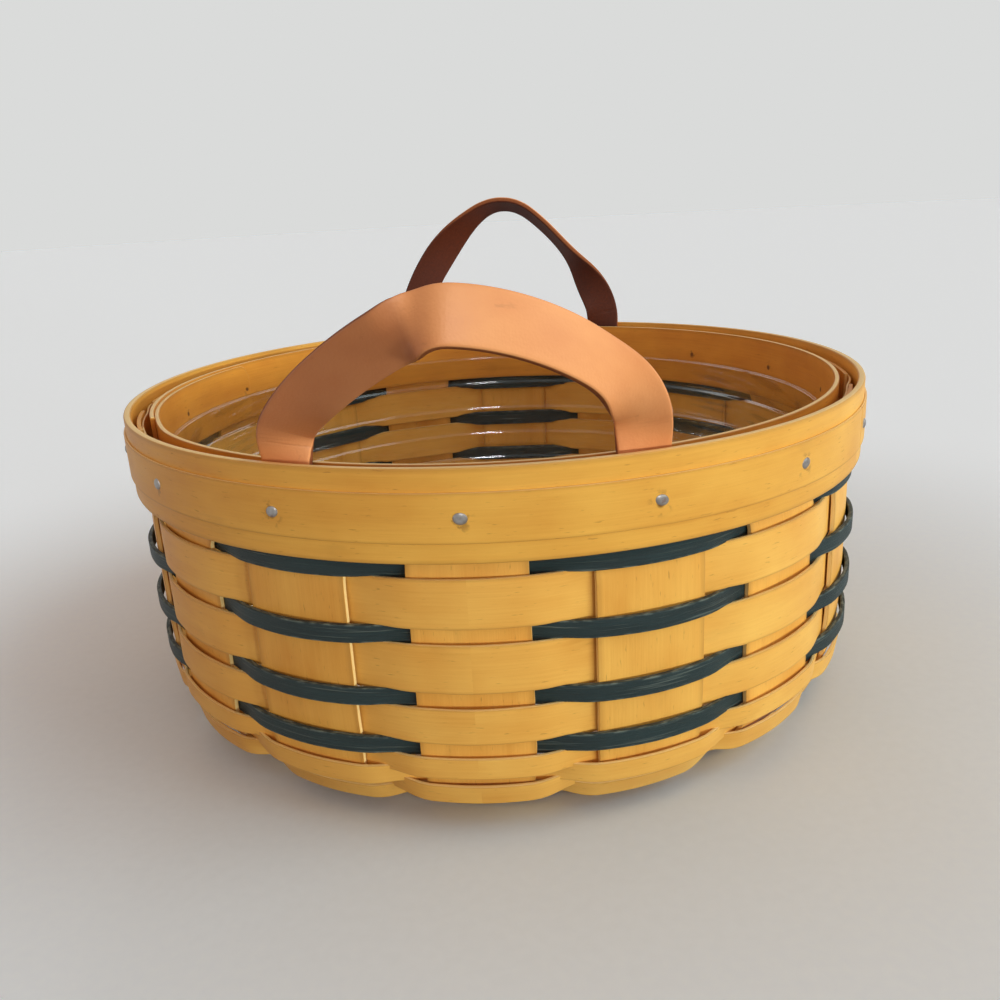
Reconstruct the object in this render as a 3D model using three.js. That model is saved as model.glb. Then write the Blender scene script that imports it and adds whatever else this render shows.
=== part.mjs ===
// A round darning basket of maple splint: sixteen broad uprights made by eight splints that cross
// under the base, plain-woven weavers, a banded rim, two leather ear handles and a clear liner.
// Millimetres, +Z up, origin on the table under the basket's axis, front handle towards -Y.

import * as THREE from "three";

// Rim
const rimDiameter = 257.2; // across the outer band
const rimHeight = 108.4; // table to the top of the outer band
const outerBandHeight = 25;
const outerBandThickness = 2.2;
const innerBandHeight = 24;
const innerBandThickness = 2.4;
const innerBandDrop = 1.2; // how far the inner band stops below the outer one
const bandRound = 0.7; // softened edges of both bands
const trimHeight = 13.2;
const trimThickness = 1;
const tackHeadDiameter = 3.8;
const tackHeadHeight = 0.9;

// Uprights
const uprightCount = 16; // two for each splint that crosses under the base
const uprightWidth = 31.75;
const uprightThickness = 1.3;
const uprightDrop = 0.8; // how far the uprights stop below the rim
const waistWidth = 13.5; // each splint narrows where it crosses the others
const waistRadius = 36;
const waistThickness = 0.8;
const crossingRamp = 28; // length over which a splint climbs to its layer
const wallBulge = 1.3; // the wall stands this far outside the rim's line of uprights
const cornerRadius = 22; // middle line of the bend from wall to base

// Weavers
const weaverThickness = 1.3;
const accentWidth = 4.6;
const narrowWidth = 6.3;
const lowestWideLoss = 3.5; // how much narrower the lowest wide weaver is than the others
const rimWeaverThickness = 0.8;
const rimWeaverDrop = 1.8; // how far the weaver behind the bands stops below the rim
const wideBelly = 1.7; // how far a weaver arches off the middle of an upright
const accentBelly = 3.4;
const narrowBelly = 1.3;
const wallPairs = 3; // accent and wide rows, taken in turn below the rim
const narrowRows = 6;

// Leather handles
const strapWidth = 14.5;
const strapThickness = 2.3;
const handleSpan = 91; // between the middles of a handle's two legs
const tailDepth = 22; // leather held between the uprights and the outer band
const foldRise = 6; // the line about which a loop leans, above the rim
const strapTwist = 72; // degrees that the strap turns to lie flat over its top
const frontLoopHeight = 43; // from the fold to the top, along the loop's lean
const frontLean = 42; // degrees outside upright
const rearLoopHeight = 51.5;
const rearLean = 12;

// Liner
const linerWall = 0.9;
const linerDrop = 14; // liner's lip below the rim
const linerLip = 1.3;
const linerCorner = 15;
const ribPitch = 12.6;
const ribStep = 0.6; // each course of the liner is this much narrower than the one above
const ribHeight = 1.6;

// Clearances
const seatGap = 0.3;
const weaveGap = 0.25;
const rowGap = 0.3;
const layerGap = 0.1;
const linerSlack = 0.8;

// Facets
const ringSteps = 64;
const linerSteps = 36;
const cornerSteps = 5;
const archSteps = 22;
const tackSides = 8;

// Rim stack, from the outer band inwards; a faceted ring's flats lie inside its corners
const flat = Math.cos(Math.PI / ringSteps);
const bandOuter = rimDiameter / 2;
const bandInner = bandOuter - outerBandThickness;
const trimInner = bandOuter + seatGap;
const trimOuter = trimInner + trimThickness;
const tailOuter = bandInner * flat - seatGap;
const tailMiddle = tailOuter - strapThickness / 2;
const rimRadius = tailOuter - strapThickness - seatGap - uprightThickness / 2;
const passLift = (uprightThickness + weaverThickness) / 2 + weaveGap;
const rimPassLift = (uprightThickness + rimWeaverThickness) / 2 + weaveGap;
const innerBandOuter = rimRadius - rimPassLift - rimWeaverThickness / 2 - seatGap;
const innerBandInner = innerBandOuter - innerBandThickness;
const bandFoot = rimHeight - outerBandHeight;
const innerBandTop = rimHeight - innerBandDrop;
const innerBandFoot = innerBandTop - innerBandHeight;
const weaveTop = Math.max(bandFoot - innerBandFoot, 0) + seatGap; // rows hang below both bands

// Upright's middle line, by its length from the foot of the outer band down to the axis
const stripDip = narrowWidth ** 2 / (8 * cornerRadius); // a flat strip's edges leave the bend
const bendFacet = cornerRadius * (1 - Math.cos(Math.PI / 4 / cornerSteps));
const bendLift = passLift + stripDip + bendFacet;
const bellyShare = 0.4; // part of an upright's half width over which a weaver lies flat
const narrowReach = bendLift + narrowBelly * (1 - bellyShare ** 2) + weaverThickness / 2;
const baseLevel = narrowReach + stripDip; // the lowest weavers just clear the table
const wallRadius = rimRadius + wallBulge;
const wallEase = weaveTop + accentWidth + rowGap; // the wall runs out behind the first row
const floorRadius = wallRadius - cornerRadius;
const easeLength = Math.hypot(wallBulge, wallEase);
const wallEnd = easeLength + bandFoot - wallEase - baseLevel - cornerRadius;
const bendEnd = wallEnd + (cornerRadius * Math.PI) / 2;
const waistStart = bendEnd + floorRadius - waistRadius;
const rampStart = waistStart - crossingRamp;

// The wall's rows fill it from the foot of the rim to the bend: the wide weavers share what the
// accents and the gaps leave
const accentShare = (wallPairs + 1) * accentWidth + weaveTop + 2 * wallPairs * rowGap;
const wideWidth = (wallEnd - accentShare + lowestWideLoss) / wallPairs;

const wood = new THREE.MeshStandardMaterial({ color: 0xd9a558, roughness: 0.55, metalness: 0 });
const paleWood = new THREE.MeshStandardMaterial({ color: 0xe0b066, roughness: 0.5, metalness: 0 });
const green = new THREE.MeshStandardMaterial({ color: 0x2c4244, roughness: 0.6, metalness: 0 });
const leather = new THREE.MeshStandardMaterial({ color: 0xb06a3c, roughness: 0.5, metalness: 0 });
const steel = new THREE.MeshStandardMaterial({ color: 0xa09ca4, roughness: 0.4, metalness: 1 });
const clear = new THREE.MeshStandardMaterial({
  color: 0xe4ecee,
  roughness: 0.15,
  metalness: 0,
  transparent: true,
  opacity: 0.25,
});

const basket = new THREE.Group();

function addPiece(name, geometry, material) {
  const mesh = new THREE.Mesh(geometry, material.clone());
  mesh.name = name;
  basket.add(mesh);
  return mesh;
}

// Skins a run of sections. Each section lists one face's points, then the other face's points
// in reverse, so that its end caps split into strips.
function loft(sections, closed) {
  const count = sections[0].length;
  const runs = closed ? sections.length : sections.length - 1;
  const index = [];
  const quad = (a, b, c, d) => index.push(a, b, c, a, c, d);
  for (let run = 0; run < runs; run++) {
    const here = run * count;
    const next = ((run + 1) % sections.length) * count;
    for (let i = 0; i < count; i++) {
      const j = (i + 1) % count;
      quad(here + i, next + i, next + j, here + j);
    }
  }
  if (!closed) {
    const last = (sections.length - 1) * count;
    for (let i = 0; i < count / 2 - 1; i++) {
      const far = count - 1 - i;
      quad(i, i + 1, far - 1, far);
      quad(last + i, last + far, last + far - 1, last + i + 1);
    }
  }
  return new THREE.BufferGeometry().setFromPoints(sections.flat()).setIndex(index);
}

// Turns a closed profile of radius and height about the basket's axis.
function revolve(profile, steps) {
  const points = profile.map(([radius, height]) => new THREE.Vector2(radius, height));
  return new THREE.LatheGeometry(points, steps).rotateX(Math.PI / 2);
}

// Point on the uprights' middle line, with its directions along the line and out of the basket.
function meridian(length) {
  const place = (r, z, angle) => ({
    r,
    z,
    along: { r: -Math.sin(angle), z: -Math.cos(angle) },
    out: { r: Math.cos(angle), z: -Math.sin(angle) },
  });
  if (length <= 0) return place(rimRadius, bandFoot - length, 0);
  if (length <= easeLength) {
    const share = length / easeLength;
    return place(rimRadius + wallBulge * share, bandFoot - wallEase * share, 0);
  }
  if (length <= wallEnd) return place(wallRadius, bandFoot - wallEase - (length - easeLength), 0);
  const angle = Math.min((length - wallEnd) / cornerRadius, Math.PI / 2);
  const r = floorRadius + cornerRadius * Math.cos(angle);
  const z = baseLevel + cornerRadius * (1 - Math.sin(angle));
  return place(r - Math.max(length - bendEnd, 0), z, angle);
}

const uprightTurn = (upright) => (upright / uprightCount) * 2 * Math.PI - Math.PI / 2;

// Each splint keeps its width down the wall and narrows evenly from the bend to its waist.
function splintWidth(length) {
  const share = THREE.MathUtils.clamp((length - wallEnd) / (waistStart - wallEnd), 0, 1);
  return THREE.MathUtils.lerp(uprightWidth, waistWidth, share);
}

// Point beside an upright's middle line, lifted off its face; the wall bows round the axis.
function splintPoint(turn, length, across, lift) {
  const line = meridian(length);
  const bow = line.out.r > 0.01 ? line.r - Math.sqrt(line.r ** 2 - across ** 2) : 0;
  const r = line.r + (lift - bow) * line.out.r;
  const z = line.z + lift * line.out.z;
  return new THREE.Vector3(r, across, z).applyAxisAngle(new THREE.Vector3(0, 0, 1), turn);
}

// One splint: up the wall, under the base through its own layer, and up the opposite wall.
function throughSplint(splint) {
  const layer = waistThickness / 2 + splint * (waistThickness + layerGap);
  const stations = [bandFoot - rimHeight + uprightDrop, 0, easeLength, wallEnd];
  for (let step = 1; step <= cornerSteps; step++) {
    stations.push(wallEnd + ((bendEnd - wallEnd) * step) / cornerSteps);
  }
  stations.push(rampStart, waistStart);
  const section = (turn, length, side) => {
    const half = (side * splintWidth(length)) / 2;
    const crossing = length === waistStart;
    const thickness = crossing ? waistThickness : uprightThickness;
    const lift = crossing ? baseLevel - layer : 0;
    const outer = [-half, 0, half].map((w) => splintPoint(turn, length, w, lift + thickness / 2));
    const inner = [half, 0, -half].map((w) => splintPoint(turn, length, w, lift - thickness / 2));
    return [...outer, ...inner];
  };
  const turn = uprightTurn(splint);
  const near = stations.map((length) => section(turn, length, 1));
  const far = stations.map((length) => section(turn + Math.PI, length, -1)).reverse();
  return loft([...near, ...far], false);
}

// One weaver: a closed strip that passes outside and inside the uprights in turn, arched over
// the middle of each and straight across the gaps between them.
function weaver({ middle, width, thickness, belly, lift, outsideEven }) {
  const line = meridian(middle);
  const axis = new THREE.Vector3(0, 0, 1);
  const sections = [];
  for (let upright = 0; upright < uprightCount; upright++) {
    const turn = uprightTurn(upright);
    const side = (upright % 2 === 0) === outsideEven ? 1 : -1;
    const along = new THREE.Vector3(line.along.r, 0, line.along.z).applyAxisAngle(axis, turn);
    const out = new THREE.Vector3(line.out.r, 0, line.out.z).applyAxisAngle(axis, turn);
    along.multiplyScalar(width / 2);
    out.multiplyScalar(thickness / 2);
    for (const share of [-1, -bellyShare, bellyShare, 1]) {
      const across = (share * splintWidth(middle)) / 2;
      const arch = side * (lift + belly * (1 - share ** 2));
      const centre = splintPoint(turn, middle, across, arch);
      const corner = (a, b) => centre.clone().addScaledVector(along, a).addScaledVector(out, b);
      sections.push([corner(1, 1), corner(-1, 1), corner(-1, -1), corner(1, -1)]);
    }
  }
  return loft(sections, true);
}

// Rows hang in order from the foot of the rim, each passing the uprights on the other side.
function addWeave() {
  const rows = [];
  for (let pair = 1; pair <= wallPairs; pair++) {
    const width = pair === wallPairs ? wideWidth - lowestWideLoss : wideWidth;
    rows.push({ name: `accent_weaver_${pair}`, width: accentWidth, belly: accentBelly });
    rows.push({ name: `wide_weaver_${pair}`, width, belly: wideBelly });
  }
  rows.push({ name: `accent_weaver_${wallPairs + 1}`, width: accentWidth, belly: accentBelly });
  for (let row = 1; row <= narrowRows; row++) {
    rows.push({ name: `narrow_weaver_${row}`, width: narrowWidth, belly: narrowBelly });
  }
  let top = weaveTop;
  rows.forEach(({ name, width, belly }, row) => {
    const middle = top + width / 2;
    const easing = row === 0 ? (wallBulge * width) / 2 / wallEase : 0;
    const lift = middle > wallEnd ? bendLift : passLift + easing;
    const strip = { middle, width, thickness: weaverThickness, belly, lift };
    const geometry = weaver({ ...strip, outsideEven: row % 2 === 1 });
    addPiece(name, geometry, name.startsWith("accent") ? green : wood);
    top += width + rowGap;
  });
  const width = outerBandHeight - seatGap - rimWeaverDrop;
  const held = { middle: -seatGap - width / 2, width, thickness: rimWeaverThickness };
  const strip = { ...held, belly: 0, lift: rimPassLift, outsideEven: true };
  addPiece("rim_weaver", weaver(strip), wood);
}

// Flat band with softened edges, as a closed profile.
function bandProfile(inner, outer, foot, top) {
  return [
    [inner, foot],
    [outer, foot],
    [outer, top - bandRound],
    [outer - bandRound, top],
    [inner + bandRound, top],
    [inner, top - bandRound],
    [inner, foot],
  ];
}

function addRim() {
  const trimFoot = rimHeight - outerBandHeight / 2 - trimHeight / 2;
  const trimTop = trimFoot + trimHeight;
  const trim = [
    [trimInner, trimFoot],
    [trimOuter, trimFoot],
    [trimOuter, trimTop],
    [trimInner, trimTop],
    [trimInner, trimFoot],
  ];
  const outer = bandProfile(bandInner, bandOuter, bandFoot, rimHeight);
  const inner = bandProfile(innerBandInner, innerBandOuter, innerBandFoot, innerBandTop);
  addPiece("outer_band", revolve(outer, ringSteps), paleWood);
  addPiece("inner_band", revolve(inner, ringSteps), wood);
  addPiece("trim_strip", revolve(trim, ringSteps), paleWood);
  const radius = tackHeadDiameter / 2;
  const head = [
    [0, 0],
    [radius, 0],
    [radius * 0.8, tackHeadHeight * 0.6],
    [0, tackHeadHeight],
  ];
  for (let tack = 1; tack <= uprightCount; tack++) {
    const turn = uprightTurn(tack - 1);
    const mesh = addPiece(`rim_tack_${tack}`, revolve(head, tackSides), steel);
    mesh.rotation.set(0, Math.PI / 2, turn, "ZYX");
    mesh.position.set(Math.cos(turn), Math.sin(turn), 0).multiplyScalar(trimOuter + seatGap);
    mesh.position.z = (trimFoot + trimTop) / 2;
  }
}

// Middle line of a handle's loop in its own plane: an arch whose two sides may differ in fullness.
class HandleArch extends THREE.Curve {
  constructor(height, leftFullness, rightFullness) {
    super();
    this.height = height;
    this.leftFullness = leftFullness;
    this.rightFullness = rightFullness;
  }

  getPoint(t, target = new THREE.Vector3()) {
    const angle = Math.PI * t;
    const power = 2 / (t < 0.5 ? this.leftFullness : this.rightFullness);
    const x = Math.sign(t - 0.5) * Math.abs(Math.cos(angle)) ** power;
    return target.set((x * handleSpan) / 2, this.height * Math.sin(angle) ** power, 0);
  }
}

const foldHeight = rimHeight + foldRise;
const legAngle = Math.asin(handleSpan / 2 / tailMiddle);
const foldReach = tailMiddle * Math.cos(legAngle);

// Loop of strap above its fold, leaning outwards; it turns to lie flat over the top and comes
// back more slowly on its broad leg's side.
function handleLoop({ height, lean, leftFullness, rightFullness, broadLeft }) {
  const arch = new HandleArch(height, leftFullness, rightFullness);
  const up = new THREE.Vector3(0, -Math.sin(lean), Math.cos(lean));
  const outward = new THREE.Vector3(0, -Math.cos(lean), -Math.sin(lean));
  const origin = new THREE.Vector3(0, -foldReach, foldHeight);
  const section = (point, tangent, twist, thickness) => {
    const rise = up.clone().multiplyScalar(tangent.x);
    const spread = new THREE.Vector3(-tangent.y, 0, 0).add(rise);
    const across = spread.clone().multiplyScalar(Math.cos(twist));
    across.addScaledVector(outward, -Math.sin(twist)).multiplyScalar(strapWidth / 2);
    const face = outward.clone().multiplyScalar(Math.cos(twist));
    face.addScaledVector(spread, Math.sin(twist)).multiplyScalar(thickness / 2);
    const centre = origin.clone().addScaledVector(up, point.y);
    centre.x = point.x;
    const corner = (a, b) => centre.clone().addScaledVector(across, a).addScaledVector(face, b);
    return [corner(-1, 1), corner(1, 1), corner(1, -1), corner(-1, -1)];
  };
  // A half-round foot, centred on the fold, lets the loop lean without meeting its tail.
  const foot = (x, direction) =>
    [75, 40].map((angle) => {
      const turn = THREE.MathUtils.degToRad(angle);
      const point = new THREE.Vector3(x, (-strapThickness / 2) * Math.sin(turn), 0);
      const tangent = new THREE.Vector3(0, direction, 0);
      return section(point, tangent, 0, strapThickness * Math.cos(turn));
    });
  const sections = foot(-handleSpan / 2, 1);
  for (let step = 0; step <= archSteps; step++) {
    const t = step / archSteps;
    const run = broadLeft ? t : 1 - t;
    const start = THREE.MathUtils.smoothstep(run, 0.1, 0.48);
    const end = 1 - THREE.MathUtils.smoothstep(run, 0.78, 1);
    const twist = THREE.MathUtils.degToRad(strapTwist) * start * end;
    const atEnd = step === 0 || step === archSteps;
    const tangent = arch.getTangentAt(t);
    if (atEnd) tangent.set(0, step === 0 ? 1 : -1, 0);
    sections.push(section(arch.getPointAt(t), tangent, twist, strapThickness));
  }
  sections.push(...foot(handleSpan / 2, -1).reverse());
  return loft(sections, false);
}

// End of a strap, held against an upright; above the rim it turns to line up with its loop.
function handleTail(side) {
  const turn = side * legAngle - Math.PI / 2;
  const top = foldHeight - strapThickness / 2 - seatGap;
  const axis = new THREE.Vector3(0, 0, 1);
  const section = (z, square) => {
    const point = (across, radius) => {
      const bowed = Math.sqrt(radius ** 2 - across ** 2);
      const local = new THREE.Vector3(THREE.MathUtils.lerp(bowed, radius, square), across, z);
      local.x -= tailMiddle;
      local.applyAxisAngle(axis, -side * legAngle * square);
      local.x += tailMiddle;
      return local.applyAxisAngle(axis, turn);
    };
    const shares = [-strapWidth / 2, 0, strapWidth / 2];
    const outer = shares.map((across) => point(across, tailMiddle + strapThickness / 2));
    const inner = shares.map((across) => point(across, tailMiddle - strapThickness / 2)).reverse();
    return [...outer, ...inner];
  };
  const middle = (rimHeight + top) / 2;
  const stations = [
    [top, 1],
    [middle, 0.5],
    [rimHeight, 0],
    [rimHeight - tailDepth, 0],
  ];
  return loft(
    stations.map(([z, square]) => section(z, square)),
    false,
  );
}

function addHandle(name, turn, shape) {
  const loop = addPiece(`${name}_handle_loop`, handleLoop(shape), leather);
  const left = addPiece(`${name}_handle_tail_left`, handleTail(-1), leather);
  const right = addPiece(`${name}_handle_tail_right`, handleTail(1), leather);
  const handle = new THREE.Group();
  handle.add(loop, left, right);
  handle.rotation.z = turn;
  basket.add(handle);
}

// Clear drop-in liner: a thin cup, stepped in at each rib, that stands on the base's weave.
function addLiner() {
  const stackTop = (uprightCount / 2) * (waistThickness + layerGap) - layerGap;
  const foot = Math.max(stackTop, baseLevel + narrowReach) + seatGap;
  const lip = rimHeight - linerDrop;
  const lipRadius = innerBandInner * flat - linerSlack;
  const ribs = Math.floor((lip - foot - linerCorner) / ribPitch);
  const shell = (inset) => {
    const wall = (course) => lipRadius - linerLip - course * ribStep - inset;
    const side = [];
    for (let rib = ribs; rib >= 1; rib--) {
      const z = lip - rib * ribPitch;
      side.push([wall(rib), z - ribHeight / 2], [wall(rib - 1), z + ribHeight / 2]);
    }
    const round = linerCorner - inset;
    const bend = [0, 45, 90].map((degrees) => {
      const angle = THREE.MathUtils.degToRad(degrees);
      const r = wall(ribs) - round * (1 - Math.sin(angle));
      return [r, foot + linerCorner - round * Math.cos(angle)];
    });
    return [[0, foot + inset], ...bend, ...side];
  };
  const rim = [
    [lipRadius - linerLip, lip - linerWall],
    [lipRadius, lip - linerWall],
    [lipRadius, lip],
    [lipRadius - linerLip - linerWall, lip],
  ];
  const profile = [...shell(0), ...rim, ...shell(linerWall).reverse()];
  addPiece("liner", revolve(profile, linerSteps), clear);
}

for (let splint = 0; splint < uprightCount / 2; splint++) {
  addPiece(`upright_splint_${splint + 1}`, throughSplint(splint), wood);
}
addWeave();
addRim();
addHandle("front", 0, {
  height: frontLoopHeight,
  lean: THREE.MathUtils.degToRad(frontLean),
  leftFullness: 1.25,
  rightFullness: 1.95,
  broadLeft: true,
});
addHandle("rear", Math.PI, {
  height: rearLoopHeight,
  lean: THREE.MathUtils.degToRad(rearLean),
  leftFullness: 1.4,
  rightFullness: 1.4,
  broadLeft: false,
});
addLiner();

export default basket;
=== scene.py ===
"""Looks of the darning basket: splint weave, banded rim, leather straps, clear liner and studio."""

import logging
import math
import random
from collections.abc import Callable, Sequence
from dataclasses import dataclass, field
from enum import Enum
from functools import cached_property

import bmesh
import bpy
from bmesh.types import BMesh, BMVert
from bpy.types import ID, Material, Node, NodeSocket, Object, World
from mathutils import Matrix, Vector


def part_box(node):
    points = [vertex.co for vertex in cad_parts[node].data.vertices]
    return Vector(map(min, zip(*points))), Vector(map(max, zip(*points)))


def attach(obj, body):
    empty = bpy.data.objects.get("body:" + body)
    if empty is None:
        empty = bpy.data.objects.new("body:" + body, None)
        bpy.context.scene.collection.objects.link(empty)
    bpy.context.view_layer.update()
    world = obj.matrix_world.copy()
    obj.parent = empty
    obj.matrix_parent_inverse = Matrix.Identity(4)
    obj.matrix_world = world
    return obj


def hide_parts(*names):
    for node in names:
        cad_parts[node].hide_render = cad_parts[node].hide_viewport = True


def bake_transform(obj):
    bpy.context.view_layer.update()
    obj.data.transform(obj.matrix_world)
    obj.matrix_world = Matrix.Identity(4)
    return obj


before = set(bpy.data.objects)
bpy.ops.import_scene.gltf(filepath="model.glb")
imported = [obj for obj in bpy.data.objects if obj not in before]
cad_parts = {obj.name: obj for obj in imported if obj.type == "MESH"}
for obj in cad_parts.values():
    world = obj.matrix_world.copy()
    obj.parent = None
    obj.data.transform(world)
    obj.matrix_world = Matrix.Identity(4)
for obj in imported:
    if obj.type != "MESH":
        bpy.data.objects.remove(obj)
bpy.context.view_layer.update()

LOG = logging.getLogger("darning_basket")
MM = 0.001
UPRIGHTS = 16
PITCH = 2 * math.pi / UPRIGHTS
FRONT = -math.pi / 2
SATIN = 0.4  # specular level of oiled wood and leather


def ease(value: float, low: float, high: float) -> float:
    """Smooth step of a value from 0 at low to 1 at high."""
    share = min(max((value - low) / (high - low), 0.0), 1.0)
    return share * share * (3 - 2 * share)


def polar(radius: float, azimuth: float, height: float) -> Vector:
    """Point at a radius and azimuth about the basket's axis."""
    return Vector((radius * math.cos(azimuth), radius * math.sin(azimuth), height))


def level_and_height(node: str) -> tuple[float, float]:
    """Level of a CAD node's middle, and the node's own height."""
    low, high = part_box(node)
    return (low.z + high.z) / 2, high.z - low.z


@dataclass(frozen=True)
class Colour:
    """Display colour, 0 to 255 for each of red, green and blue."""

    red: float
    green: float
    blue: float

    @staticmethod
    def _linear(value: float) -> float:
        """Light of one display channel."""
        share = value / 255
        return share / 12.92 if share <= 0.04045 else ((share + 0.055) / 1.055) ** 2.4

    @property
    def light(self) -> tuple[float, float, float, float]:
        """The colour as the shader takes it."""
        return (self._linear(self.red), self._linear(self.green), self._linear(self.blue), 1.0)


BAND_TONES = (Colour(240, 185, 83), Colour(214, 148, 56))


def _operator(operation: str, swapped: bool = False) -> "Callable[..., Amount]":
    """Makes an operator of Amount that adds one Math node.

    Args:
        operation: the node's operation.
        swapped: whether the amount is the right side, as in 1 - mask.

    Returns:
        The operator, whose other side is left out where the operation has one side.
    """

    def apply(amount: "Amount", other: "Number" = 0.0) -> "Amount":
        """Adds the node."""
        sides = {0: other, 1: amount} if swapped else {0: amount, 1: other}
        made = amount.painter.node("ShaderNodeMath", {"operation": operation}, sides)
        return Amount(amount.painter, made.outputs[0])

    return apply


class Amount:
    """A number that changes over a surface; its operators add Math nodes."""

    __add__ = _operator("ADD")
    __radd__ = _operator("ADD", swapped=True)
    __sub__ = _operator("SUBTRACT")
    __rsub__ = _operator("SUBTRACT", swapped=True)
    __mul__ = _operator("MULTIPLY")
    __rmul__ = _operator("MULTIPLY", swapped=True)
    __truediv__ = _operator("DIVIDE")
    __pow__ = _operator("POWER")
    most = _operator("MAXIMUM")
    least = _operator("MINIMUM")
    _absolute = _operator("ABSOLUTE")
    _rounded = _operator("ROUND")

    def __init__(self, painter: "Painter", socket: NodeSocket) -> None:
        """Wraps a socket of a painter's tree."""
        self.painter = painter
        self.socket = socket

    def __abs__(self) -> "Amount":
        """Size without sign."""
        return self._absolute()

    def wrapped(self, length: float) -> "Amount":
        """Distance from the nearest multiple of a length, with its sign."""
        return self - (self / length)._rounded() * length

    def ease(self, low: float, high: float) -> "Amount":
        """Smooth step from 0 at low to 1 at high."""
        settings = {"interpolation_type": "SMOOTHSTEP"}
        inputs = {"Value": self, "From Min": low, "From Max": high}
        made = self.painter.node("ShaderNodeMapRange", settings, inputs)
        return Amount(self.painter, made.outputs["Result"])


Number = Amount | float
Paint = NodeSocket | Colour


class Painter:
    """Writes the nodes of one material, or of the world."""

    def __init__(self, owner: Material | World) -> None:
        """Starts from an empty tree."""
        self.owner = owner
        owner.use_nodes = True
        self.tree = owner.node_tree
        self.tree.nodes.clear()

    def node(self, kind: str, settings: dict | None = None, inputs: dict | None = None) -> Node:
        """Adds a node.

        Args:
            kind: the node's type.
            settings: its properties, set first.
            inputs: values or links of its sockets, by name or place.

        Returns:
            The node.
        """
        made = self.tree.nodes.new(kind)
        for name, value in (settings or {}).items():
            setattr(made, name, value)
        for key, value in (inputs or {}).items():
            source = value.socket if isinstance(value, Amount) else value
            if isinstance(source, NodeSocket):
                self.tree.links.new(source, made.inputs[key])
            else:
                plain = source.light if isinstance(source, Colour) else source
                made.inputs[key].default_value = plain
        return made

    def strip(self) -> NodeSocket:
        """Metres along and across the piece's own strip."""
        return self.node("ShaderNodeUVMap", {"uv_map": Strip.UV}).outputs["UV"]

    def place(self) -> NodeSocket:
        """Metres in the basket's frame."""
        return self.node("ShaderNodeTexCoord").outputs["Object"]

    def attribute(self, name: str) -> Amount:
        """A number that the mesh carries at its points."""
        made = self.node("ShaderNodeAttribute", {"attribute_name": name})
        return Amount(self, made.outputs["Fac"])

    def parts(self, vector: NodeSocket) -> tuple[Amount, Amount, Amount]:
        """The three numbers of a vector."""
        made = self.node("ShaderNodeSeparateXYZ", None, {0: vector})
        return tuple(Amount(self, made.outputs[i]) for i in range(3))

    def noise(
        self, vector: NodeSocket, scale: Sequence[float], detail: float, roughness: float = 0.5
    ) -> Amount:
        """Noise on a stretched vector.

        Args:
            vector: where it is read.
            scale: waves per metre on each axis.
            detail: octaves.
            roughness: weight of the finer octaves.

        Returns:
            The noise, about 0.5 in the middle.
        """
        inputs = {**self._spread(vector, scale), "Detail": detail, "Roughness": roughness}
        return Amount(self, self.node("ShaderNodeTexNoise", None, inputs).outputs["Fac"])

    def cells(self, vector: NodeSocket, scale: Sequence[float]) -> Amount:
        """Distance to the nearest of many scattered points, in cells."""
        made = self.node("ShaderNodeTexVoronoi", None, self._spread(vector, scale))
        return Amount(self, made.outputs["Distance"])

    def _spread(self, vector: NodeSocket, scale: Sequence[float]) -> dict:
        """Sockets of a texture that is read on a stretched vector."""
        made = self.node("ShaderNodeMapping", None, {"Vector": vector, "Scale": scale})
        return {"Vector": made.outputs[0], "Scale": 1.0}

    def blend(self, share: Number, first: Paint, second: Paint) -> NodeSocket:
        """Colour between two.

        Args:
            share: 0 for the first, 1 for the second.
            first: colour at 0.
            second: colour at 1.

        Returns:
            The mixed colour.
        """
        settings = {"data_type": "RGBA", "clamp_factor": True}
        made = self.node("ShaderNodeMix", settings, {0: share, 6: first, 7: second})
        return made.outputs[2]

    def bump(self, height: Amount, depth: float) -> NodeSocket:
        """Normal of a surface with that relief, in metres."""
        inputs = {"Height": height, "Distance": depth, "Strength": 1.0}
        return self.node("ShaderNodeBump", None, inputs).outputs["Normal"]

    def surface(self, inputs: dict) -> Node:
        """Main shader with its sockets set."""
        return self.node("ShaderNodeBsdfPrincipled", None, inputs)

    def seen(self) -> Amount:
        """1 on the camera's own rays and on those that metal or glass sends on."""
        rays = self.node("ShaderNodeLightPath").outputs
        seen = Amount(self, rays["Is Camera Ray"]).most(Amount(self, rays["Is Glossy Ray"]))
        return seen.most(Amount(self, rays["Is Transmission Ray"]))

    def mix(self, share: Number, first: Node, second: Node) -> Node:
        """Shader between two, by a share from 0 to 1."""
        inputs = {0: share, 1: first.outputs[0], 2: second.outputs[0]}
        return self.node("ShaderNodeMixShader", None, inputs)

    def done(self, shader: Node) -> Material | World:
        """Ends the tree with that shader."""
        kind = "World" if isinstance(self.owner, World) else "Material"
        self.node(f"ShaderNodeOutput{kind}", None, {"Surface": shader.outputs[0]})
        return self.owner


@dataclass(frozen=True)
class Look:
    """A named material, whose nodes its own kind of look writes."""

    name: str

    def paint(self) -> Material:
        """Makes the material."""
        p = Painter(bpy.data.materials.new(self.name))
        return p.done(self.shade(p))

    def shade(self, p: Painter) -> Node:
        """Writes the nodes up to the last shader."""
        raise NotImplementedError


@dataclass(frozen=True)
class TackMarks:
    """Where tacks pierce a strip: the first one, their spacing and their height on it."""

    first: float
    spacing: float
    across: float = 0.0
    radius: float = 0.9 * MM
    halo: float = 3.4 * MM


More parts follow.
